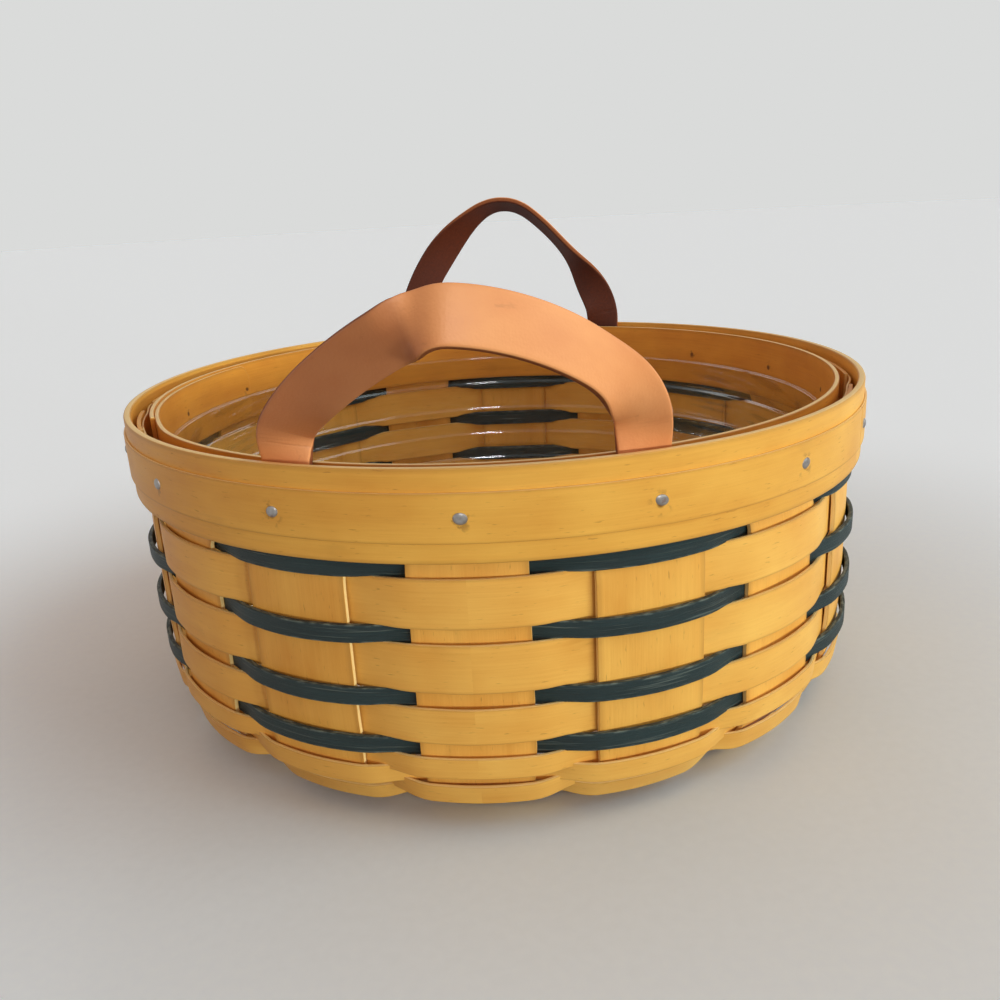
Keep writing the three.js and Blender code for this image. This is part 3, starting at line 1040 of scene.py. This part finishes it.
@dataclass
class Rim:
    """Outer band with its trim strip and tacks, and the lapped inner band."""

    materials: dict[Finish, Material]
    outer_thickness: float = 2.2 * MM
    outer_round: float = 0.5 * MM
    hoop_steps: int = 256
    hoop_wave: float = 0.12 * MM
    trim_thickness: float = 0.8 * MM
    round_share: float = 0.3  # of a thin hoop's thickness
    trim_seam: float = math.radians(-25)
    trim_opening: float = 0.6 * MM
    trim_wave: float = 0.25 * MM
    stain_drop: float = 0.4 * MM
    stain_radius: float = 1.2 * MM
    stain_halo: float = 4.6 * MM
    inner_ply: float = 1.5 * MM
    inner_round: float = 0.3 * MM
    inner_steps: int = 420
    inner_lap: float = math.radians(50)
    inner_run_out: float = math.radians(16)
    inner_end: float = math.radians(156.5)
    inner_end_thin: float = 0.8 * MM
    inner_end_taper: float = 34 * MM
    inner_end_corner: float = 5 * MM
    lap_clearance: float = 1.02  # of the two plies
    lap_inset: float = 0.5 * MM
    lap_drop: float = 0.2 * MM
    inner_tack_rise: float = 1.2 * MM
    tack_rings: int = 8
    tack_sides: int = 20
    tack_flatness: tuple[float, float] = (0.32, 0.45)
    tack_narrowing: tuple[float, float] = (0.78, 0.9)
    tack_spin: float = 0.3  # radians, either way
    tack_tilt: float = 0.12  # radians, either way
    tack_sink: float = 0.1 * MM
    seed: int = 3
    draws: random.Random = field(init=False)

    def __post_init__(self) -> None:
        """Starts the rim's own random draws."""
        self.draws = random.Random(self.seed)

    def build(self) -> None:
        """Makes the bands, the trim and the tacks."""
        self._add_outer()
        self._add_trim()
        self._add_inner()
        for tack in range(UPRIGHTS):
            self._add_tack(tack)

    @cached_property
    def outer_radius(self) -> float:
        """Radius of the outer band's face."""
        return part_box("outer_band")[1].x

    def _add_outer(self) -> None:
        """Makes the outer band."""
        middle = self.outer_radius - self.outer_thickness / 2
        self._add_hoop("outer_band", middle, self.outer_thickness, self.materials[Finish.BAND])

    def _add_trim(self) -> None:
        """Makes the thin strip round the outer band, whose ends meet at a seam."""
        middle = self.outer_radius + self.trim_thickness / 2
        tack_rise = level_and_height("rim_tack_1")[0] - level_and_height("trim_strip")[0]
        marks = TackMarks(
            first=(FRONT - self.trim_seam) % PITCH * middle,
            spacing=PITCH * middle,
            across=tack_rise + self.trim_thickness - self.stain_drop,
            radius=self.stain_radius,
            halo=self.stain_halo,
        )
        wood = SplintWood("trim_maple", *BAND_TONES, marks=marks).paint()
        gap = self.trim_opening / middle
        self._add_hoop("trim_strip", middle, self.trim_thickness, wood, gap, self.trim_wave)

    def _add_hoop(
        self,
        node: str,
        middle: float,
        thickness: float,
        wood: Material,
        gap: float = 0.0,
        wave: float = 0.0,
    ) -> None:
        """Makes one band of the rim's outside.

        Args:
            node: the CAD node that it stands for.
            middle: its middle radius.
            thickness: its thickness.
            wood: its look.
            gap: angle between its ends, 0 where they are joined.
            wave: how far it wanders up and down by itself.
        """
        level, height = level_and_height(node)

        def place(along: float, across: float, side: float) -> Vector:
            """Point of the hoop."""
            azimuth = self.trim_seam + gap / 2 + along * (2 * math.pi - gap)
            rise = wave * math.sin(2 * azimuth + 1) + self.hoop_wave * math.sin(3 * azimuth)
            rise += across * height / 2
            return polar(middle + side * thickness / 2, azimuth, level + rise)

        strip = Strip(
            name=f"{node}_hoop",
            place=place,
            length=2 * math.pi * middle,
            width=height,
            thickness=thickness,
            steps=self.hoop_steps,
            ribs=8,
            closed=gap == 0,
            round_edge=min(self.outer_round, thickness * self.round_share),
        )
        add_to_basket(strip.make(wood), node)

    def _add_inner(self) -> None:
        """Makes the inner band: one strip whose thinned, rounded end laps inside its start."""
        level, width = level_and_height("inner_band")
        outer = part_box("inner_band")[1].x - self.inner_ply / 2
        turn = 2 * math.pi + self.inner_lap
        length = outer * turn

        def place(along: float, across: float, side: float) -> Vector:
            """Point of the band."""
            run = along * length
            angle = along * turn
            over = 1 - ease(angle, self.inner_lap, self.inner_lap + self.inner_run_out)
            thin = 1 - ease(run, 0, self.inner_end_taper)
            thickness = self.inner_ply - (self.inner_ply - self.inner_end_thin) * thin
            radius = outer - over * (self.inner_ply + thickness) / 2 * self.lap_clearance
            half = width / 2 - self.lap_inset * over
            corner = self.inner_end_corner
            inset = max(corner - run, 0)
            half -= corner - math.sqrt(max(corner**2 - inset**2, 0))
            rise = across * half - self.lap_drop * over
            return polar(radius + side * thickness / 2, self.inner_end + angle, level + rise)

        strip = Strip(
            name="inner_band_hoop",
            place=place,
            length=length,
            width=width,
            thickness=self.inner_ply,
            steps=self.inner_steps,
            ribs=8,
            round_edge=self.inner_round,
        )
        first = (FRONT - self.inner_end) % PITCH * outer
        marks = TackMarks(first=first, spacing=PITCH * outer, across=self.inner_tack_rise)
        # Painted shade: the inner band's tones are darker and redder than the outer band's, for the
        # shade inside the rim.
        inner_band_shaded_tones = (Colour(234, 165, 61), Colour(200, 125, 40))
        wood = SplintWood("inner_band_shaded_maple", *inner_band_shaded_tones, marks=marks)
        add_to_basket(strip.make(wood.paint()), "inner_band")

    def _add_tack(self, tack: int) -> None:
        """Makes one domed tack head on the trim strip."""
        node = f"rim_tack_{tack + 1}"
        level, height = level_and_height(node)
        azimuth = FRONT + tack * PITCH
        seat = self.outer_radius + self.trim_thickness
        maker = bmesh.new()
        bmesh.ops.create_uvsphere(
            maker, u_segments=self.tack_sides, v_segments=2 * self.tack_rings, radius=height / 2
        )
        everything = maker.verts[:] + maker.edges[:] + maker.faces[:]
        bmesh.ops.bisect_plane(
            maker, geom=everything, plane_co=(0, 0, 0), plane_no=(0, 0, -1), clear_outer=True
        )
        rim = [edge for edge in maker.edges if edge.is_boundary]
        bmesh.ops.edgeloop_fill(maker, edges=rim)
        flatness = self.draws.uniform(*self.tack_flatness)
        narrow = self.draws.uniform(*self.tack_narrowing)
        bmesh.ops.scale(maker, vec=(narrow, 1, flatness), verts=maker.verts[:])
        spin = Matrix.Rotation(self.draws.uniform(-self.tack_spin, self.tack_spin), 4, "Z")
        bmesh.ops.transform(maker, matrix=spin, verts=maker.verts[:])
        tilt = Matrix.Rotation(self.draws.uniform(-self.tack_tilt, self.tack_tilt), 4, "X")
        face_out = Matrix.Rotation(math.pi / 2, 4, "Y")
        spot = polar(seat - self.tack_sink, azimuth, level)
        place = Matrix.Translation(spot) @ Matrix.Rotation(azimuth, 4, "Z") @ face_out @ tilt
        bmesh.ops.transform(maker, matrix=place, verts=maker.verts[:])
        bmesh.ops.recalc_face_normals(maker, faces=maker.faces[:])
        piece = add_piece(maker, f"{node}_head", self.materials[Finish.TACK])
        add_to_basket(piece, node)


@dataclass(frozen=True)
class StrapShape:
    """How one strap arches and twists.

    Its twist starts and ends, and starts to come out again, at shares of its loop counted from the
    foot of its broad leg.
    """

    height: float
    lean: float
    left_fullness: float
    right_fullness: float
    broad_left: bool
    leg_twist: float
    twist: float
    twist_from: float
    twist_to: float
    untwist_from: float
    crown_smoothing: float


StrapFrame = tuple[Vector, Vector, Vector]  # middle, and directions across and outward


@dataclass
class StrapHandle:
    """One leather strap, held at both ends in the rim and folded out above it."""

    CREASE = "crease"
    AVERAGED = (-0.9, -0.5, -0.2, 0.2, 0.5, 0.9)  # shares of the smoothed stretch

    name: str
    turn: float
    shape: StrapShape
    material: Material
    width: float = 14.5 * MM
    thickness: float = 2.3 * MM
    edge_round: float = 0.55 * MM
    crowning: float = 0.25 * MM
    span: float = 91 * MM
    tail_depth: float = 22 * MM
    fold_rise: float = 6 * MM
    fold_blend: float = 3 * MM
    leg_turn: float = 0.2  # share of the loop over which a leg turns
    smoothing: float = 5 * MM
    wrinkled: tuple[float, float] = (1 * MM, 6 * MM)
    rear_grain: float = 3.0  # metres of grain past the front strap's
    samples: int = 400
    steps: int = 150

    @cached_property
    def tail_radius(self) -> float:
        """Radius of the held leather's middle."""
        low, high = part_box(f"{self.name}_handle_tail_left")
        outer = math.hypot(max(abs(low.x), abs(high.x)), min(abs(low.y), abs(high.y)))
        return outer - self.thickness / 2

    @cached_property
    def rim_top(self) -> float:
        """Height of the rim."""
        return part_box("outer_band")[1].z

    @property
    def leg_angle(self) -> float:
        """Azimuth of each leg from the middle of the handle."""
        return math.asin(self.span / 2 / self.tail_radius)

    @property
    def fold(self) -> Vector:
        """Middle of the fold line, before the handle is turned to its side."""
        out = -self.tail_radius * math.cos(self.leg_angle)
        return Vector((0, out, self.rim_top + self.fold_rise))

    def _arch(self, share: float) -> Vector:
        """Point of the loop's middle line in its own plane."""
        angle = math.pi * share
        fullness = self.shape.left_fullness if share < 0.5 else self.shape.right_fullness
        power = 2 / fullness
        x = math.copysign(abs(math.cos(angle)) ** power, share - 0.5)
        return Vector((x * self.span / 2, self.shape.height * math.sin(angle) ** power, 0))

    @cached_property
    def _arch_points(self) -> list[Vector]:
        """Close points along the loop."""
        return [self._arch(i / self.samples) for i in range(self.samples + 1)]

    @cached_property
    def _arch_lengths(self) -> list[float]:
        """Length from the loop's left foot to each of its points."""
        lengths = [0.0]
        for here, there in zip(self._arch_points, self._arch_points[1:]):
            lengths.append(lengths[-1] + (there - here).length)
        return lengths

    @property
    def loop_length(self) -> float:
        """Length of the loop above its fold."""
        return self._arch_lengths[-1]

    @property
    def tail_length(self) -> float:
        """Length of each end below the fold."""
        return self.tail_depth + self.fold_rise

    @property
    def length(self) -> float:
        """Whole length of the strap."""
        return self.loop_length + 2 * self.tail_length

    def _on_arch(self, run: float) -> tuple[Vector, Vector]:
        """Point and direction of the loop at a length from its left foot."""
        lengths = self._arch_lengths
        step = next((i for i in range(1, len(lengths)) if lengths[i] >= run), len(lengths) - 1)
        here, there = self._arch_points[step - 1], self._arch_points[step]
        share = (run - lengths[step - 1]) / (lengths[step] - lengths[step - 1])
        return here.lerp(there, share), (there - here).normalized()

    def _loop_frame(self, run: float) -> StrapFrame:
        """Middle, across and outward directions of the loop at a length from its left foot."""
        lean = self.shape.lean
        up = Vector((0, -math.sin(lean), math.cos(lean)))
        outward = Vector((0, -math.cos(lean), -math.sin(lean)))
        point, tangent = self._on_arch(run)
        share = run / self.loop_length
        share = share if self.shape.broad_left else 1 - share
        turned = ease(share, self.shape.twist_from, self.shape.twist_to)
        twist = self.shape.leg_twist * ease(share, 0, self.leg_turn)
        twist += (self.shape.twist - twist) * turned
        twist *= 1 - ease(share, self.shape.untwist_from, 1)
        spread = Vector((-tangent.y, 0, 0)) + up * tangent.x
        across = spread * math.cos(twist) - outward * math.sin(twist)
        face = outward * math.cos(twist) + spread * math.sin(twist)
        return self.fold + up * point.y + Vector((point.x, 0, 0)), across, face

    def _tail_frame(self, drop: float, side: float) -> StrapFrame:
        """Middle, across and outward directions of an end at a drop below the fold."""
        square = 1 - ease(drop, 0, self.fold_rise)
        leg = FRONT + side * self.leg_angle
        facing = leg - side * self.leg_angle * square
        face = polar(1, facing, 0)
        across = Vector((-face.y, face.x, 0)) * side
        return polar(self.tail_radius, leg, self.fold.z - drop), across, face

    def _frame(self, run: float) -> StrapFrame:
        """Middle, across and outward directions at a length along the whole strap."""
        run = min(max(run, 0.0), self.length)
        if run < self.tail_length:
            return self._tail_frame(self.tail_length - run, -1.0)
        if run > self.length - self.tail_length:
            return self._tail_frame(run - self.length + self.tail_length, 1.0)
        return self._loop_frame(run - self.tail_length)

    def _eased_frame(self, run: float) -> StrapFrame:
        """The strap's frame, averaged over a short stretch so that its folds are round."""
        crown = math.sin(math.pi * run / self.length) ** 4
        reach = self.smoothing + (self.shape.crown_smoothing - self.smoothing) * crown
        reach = min(reach, run, self.length - run)
        frames = [self._frame(run + reach * share) for share in self.AVERAGED]
        middle = sum((each[0] for each in frames), Vector()) / len(frames)
        across = sum((each[1] for each in frames), Vector()).normalized()
        face = sum((each[2] for each in frames), Vector())
        face = (face - across * face.dot(across)).normalized()
        return middle, across, face

    def build(self) -> None:
        """Makes the strap in its place, and hides the CAD loop and tails that it stands for."""
        side_turn = Matrix.Rotation(self.turn, 3, "Z")
        cache: dict[float, StrapFrame] = {}

        def place(along: float, across: float, side: float) -> Vector:
            """Point of the strap."""
            if along not in cache:
                cache[along] = self._eased_frame(along * self.length)
            middle, beside, face = cache[along]
            lift = side * self.thickness / 2 + self.crowning * (1 - across**2)
            return side_turn @ (middle + beside * (across * self.width / 2) + face * lift)

        strip = Strip(
            name=f"{self.name}_strap",
            place=place,
            length=self.length,
            width=self.width,
            thickness=self.thickness,
            steps=self.steps,
            ribs=10,
            round_edge=self.edge_round,
            grain_start=self.rear_grain if self.turn else 0.0,
        )
        piece = strip.make(self.material, self._mark_creases)
        fold = side_turn @ self.fold
        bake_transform(piece)
        tails = [f"{self.name}_handle_tail_{side}" for side in ("left", "right")]
        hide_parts(f"{self.name}_handle_loop", *tails)

    def _mark_creases(self, maker: BMesh) -> None:
        """Marks the leather near its folds, where it is wrinkled."""
        crease = maker.verts.layers.float.new(self.CREASE)
        for vert in maker.verts:
            above = abs(vert.co.z - self.fold.z)
            vert[crease] = 1 - ease(above, *self.wrinkled)


@dataclass
class Liner:
    """Clear drop-in cup with a lip and level ribs."""

    material: Material
    wall: float = 0.9 * MM
    lip: float = 1.3 * MM
    corner: float = 15 * MM
    rib_pitch: float = 12.6 * MM
    rib_step: float = 0.6 * MM
    rib_height: float = 1.6 * MM
    rib_bead: float = 0.3 * MM
    rib_spread: float = 1.4
    rib_rise: tuple[float, float] = (0.2, 0.8)  # shares of a rib's spread
    ribs: int = 5
    bend_steps: int = 8
    lip_drop: float = 1.2 * MM
    lip_bend: float = 0.7 * MM
    lip_steps: int = 4
    lip_inset: float = 0.1 * MM
    drawn_wall: float = 0.6  # share of the wall
    steps: int = 128

    def build(self) -> None:
        """Makes the cup by turning its profile about the axis."""
        low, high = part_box("liner")
        maker = bmesh.new()
        points = [maker.verts.new((r, 0, z)) for r, z in self._profile(high.x, low.z, high.z)]
        edges = [maker.edges.new(pair) for pair in zip(points, points[1:])]
        bmesh.ops.spin(
            maker,
            geom=points + edges,
            axis=(0, 0, 1),
            cent=(0, 0, 0),
            angle=2 * math.pi,
            steps=self.steps,
            use_merge=True,
        )
        open_edges = [edge for edge in maker.edges if edge.is_boundary]
        floor_ring = [edge for edge in open_edges if edge.verts[0].co.z < low.z + self.wall]
        bmesh.ops.edgeloop_fill(maker, edges=floor_ring)
        bmesh.ops.recalc_face_normals(maker, faces=maker.faces[:])
        piece = add_piece(maker, "liner_cup", self.material)
        shell = piece.modifiers.new("wall", "SOLIDIFY")
        shell.thickness = self.wall * self.drawn_wall
        shell.offset = 0
        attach(piece, "liner")
        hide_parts("liner")

    def _profile(self, lip_radius: float, foot: float, top: float) -> list[tuple[float, float]]:
        """Middle line of the cup's wall as radius and height, from its floor to its lip."""
        half = self.wall / 2

        def wall_radius(course: int) -> float:
            """Wall of a course, counted from the lip."""
            return lip_radius - self.lip - course * self.rib_step - half

        round_radius = self.corner - half
        inner = wall_radius(self.ribs) - round_radius
        points = [(inner / 2, foot + half)]
        for step in range(self.bend_steps + 1):
            angle = math.pi / 2 * step / self.bend_steps
            level = foot + self.corner - round_radius * math.cos(angle)
            points.append((inner + round_radius * math.sin(angle), level))
        for rib in range(self.ribs, 0, -1):
            middle = top - rib * self.rib_pitch
            for step in range(self.bend_steps + 1):
                share = step / self.bend_steps
                radius = wall_radius(rib) + self.rib_step * ease(share, *self.rib_rise)
                radius += self.rib_bead * math.sin(math.pi * share) ** 2
                points.append((radius, middle + (share - 0.5) * self.rib_spread * self.rib_height))
        lip_middle = top - half
        points.append((wall_radius(0), lip_middle - self.lip_drop))
        for step in range(self.lip_steps + 1):
            angle = math.pi / 2 * step / self.lip_steps
            radius = wall_radius(0) + self.lip_bend * (1 - math.cos(angle))
            points.append((radius, lip_middle - self.lip_bend * (1 - math.sin(angle))))
        points.append((lip_radius - self.lip_inset, lip_middle))
        return points


@dataclass(frozen=True)
class Lamp:
    """Soft far light, for matt surfaces, mirrored in glossy ones, or both.

    Its rise over the floor and its softness are in degrees.
    """

    rise: float
    strength: float
    softness: float
    colour: Colour
    matt: bool = True
    mirrored: bool = False

    def hang(self, name: str, turn: float) -> None:
        """Hangs one lamp, so that it shines from an azimuth in degrees."""
        light = bpy.data.lights.new(name, "SUN")
        light.energy = self.strength
        light.color = self.colour.light[:3]
        light.angle = math.radians(self.softness)
        lamp = add_object(name, light)
        lamp.visible_diffuse = self.matt
        lamp.visible_glossy = self.mirrored
        tilt = math.pi / 2 - math.radians(self.rise)
        lamp.rotation_euler = (tilt, 0, math.radians(turn) + math.pi / 2)


@dataclass
class Studio:
    """Camera at the photograph's angle, a pale floor and soft light from the right."""

    camera_place: tuple[float, float, float] = (0.0262, -0.3405, 0.17007)
    camera_turn: float = math.radians(4.4)
    camera_pitch: float = math.radians(18.21)
    camera_roll: float = math.radians(-3.11)
    lens: float = 33.45
    nearest_seen: float = 0.01
    floor_radius: float = 6.0
    floor_sides: int = 96
    key_turns: tuple[float, ...] = (-53, -39, -25)
    key: Lamp = Lamp(rise=1.2, strength=0.89, softness=6, colour=Colour(236, 250, 255))
    side_turn: float = -8.5
    side: Lamp = Lamp(
        rise=37.5, strength=0.84, softness=40, colour=Colour(230, 252, 255), mirrored=True
    )
    back_turn: float = 100
    back: Lamp = Lamp(rise=2, strength=1.3, softness=8, colour=Colour(255, 250, 244))
    glint_turn: float = -80
    glint: Lamp = Lamp(
        rise=50,
        strength=1.3,
        softness=12,
        colour=Colour(255, 255, 255),
        matt=False,
        mirrored=True,
    )
    sky_side: float = 0.88
    sky_top: float = 0.36
    sky_top_rise: float = 0.9  # sine of the angle at which the top starts
    sky_colour: Colour = Colour(255, 229, 211)
    backdrop: Colour = Colour(218, 219, 218)

    def build(self) -> None:
        """Makes the camera, the floor and the light."""
        self._add_camera()
        self._add_floor()
        self._add_lamps()
        self._add_sky()

    def _add_camera(self) -> None:
        """Sets the camera where the photograph was taken."""
        camera = add_object("camera", bpy.data.cameras.new("camera"))
        camera.data.lens = self.lens
        camera.data.clip_start = self.nearest_seen
        turn = Matrix.Rotation(self.camera_turn, 4, "Z")
        pitch = Matrix.Rotation(math.pi / 2 - self.camera_pitch, 4, "X")
        roll = Matrix.Rotation(self.camera_roll, 4, "Z")
        camera.matrix_world = Matrix.Translation(self.camera_place) @ turn @ pitch @ roll
        bpy.context.scene.camera = camera

    def _add_floor(self) -> None:
        """Makes the floor that the basket stands on."""
        maker = bmesh.new()
        bmesh.ops.create_circle(
            maker, cap_ends=True, segments=self.floor_sides, radius=self.floor_radius
        )
        floor = add_mesh(maker, "studio_floor", StudioPaper("studio_paper").paint())

    def _add_lamps(self) -> None:
        """Hangs the lamps; the low ones light the basket's outside and not its inside."""
        for number, turn in enumerate(self.key_turns):
            self.key.hang(f"key_{number + 1}", turn)
        self.side.hang("side", self.side_turn)
        self.back.hang("back", self.back_turn)
        self.glint.hang("glint", self.glint_turn)

    def _add_sky(self) -> None:
        """Makes the even light of the room, which the camera sees as the backdrop."""
        world = bpy.data.worlds.new("studio")
        bpy.context.scene.world = world
        p = Painter(world)
        rise = p.parts(p.node("ShaderNodeTexCoord").outputs["Generated"])[2]
        strength = self.sky_side + rise.ease(0, self.sky_top_rise) * (self.sky_top - self.sky_side)
        sky = p.node("ShaderNodeBackground", None, {"Color": self.sky_colour, "Strength": strength})
        drop = p.node("ShaderNodeBackground", None, {"Color": self.backdrop, "Strength": 1.0})
        p.done(p.mix(p.seen(), sky, drop))


def paint_finishes() -> dict[Finish, Material]:
    """Makes the material of every finish."""
    looks = {
        Finish.UPRIGHT: SplintWood("upright_maple", Colour(246, 191, 92), Colour(220, 151, 60)),
        Finish.WEAVER: SplintWood("weaver_maple", Colour(249, 197, 98), Colour(223, 155, 63)),
        Finish.ACCENT: DyedSplint("green_splint"),
        Finish.BAND: SplintWood("band_maple", *BAND_TONES),
        Finish.STRAP: StrapLeather("tan_strap"),
        Finish.TACK: TackSteel("tack_steel"),
        Finish.LINER: ClearPlastic("clear_liner"),
    }
    return {finish: look.paint() for finish, look in looks.items()}


def main() -> None:
    """Builds the studio and every sub-assembly."""
    logging.basicConfig(level=logging.INFO, format="%(name)s %(message)s")
    bpy.context.scene.view_settings.view_transform = "Standard"
    Studio().build()
    materials = paint_finishes()
    Weave(WallLine(), materials).build()
    Rim(materials).build()
    front = StrapShape(
        height=43 * MM,
        lean=math.radians(42),
        left_fullness=1.25,
        right_fullness=1.75,
        broad_left=True,
        leg_twist=math.radians(22),
        twist=math.radians(72),
        twist_from=0.385,
        twist_to=0.455,
        untwist_from=0.78,
        crown_smoothing=2.4 * MM,
    )
    rear = StrapShape(
        height=55 * MM,
        lean=math.radians(12),
        left_fullness=1.3,
        right_fullness=1.46,
        broad_left=False,
        leg_twist=0.0,
        twist=math.radians(82),
        twist_from=0.1,
        twist_to=0.46,
        untwist_from=0.76,
        crown_smoothing=14 * MM,
    )
    StrapHandle("front", 0.0, front, materials[Finish.STRAP]).build()
    StrapHandle("rear", math.pi, rear, materials[Finish.STRAP]).build()
    Liner(materials[Finish.LINER]).build()


if __name__ == "__main__":
    main()
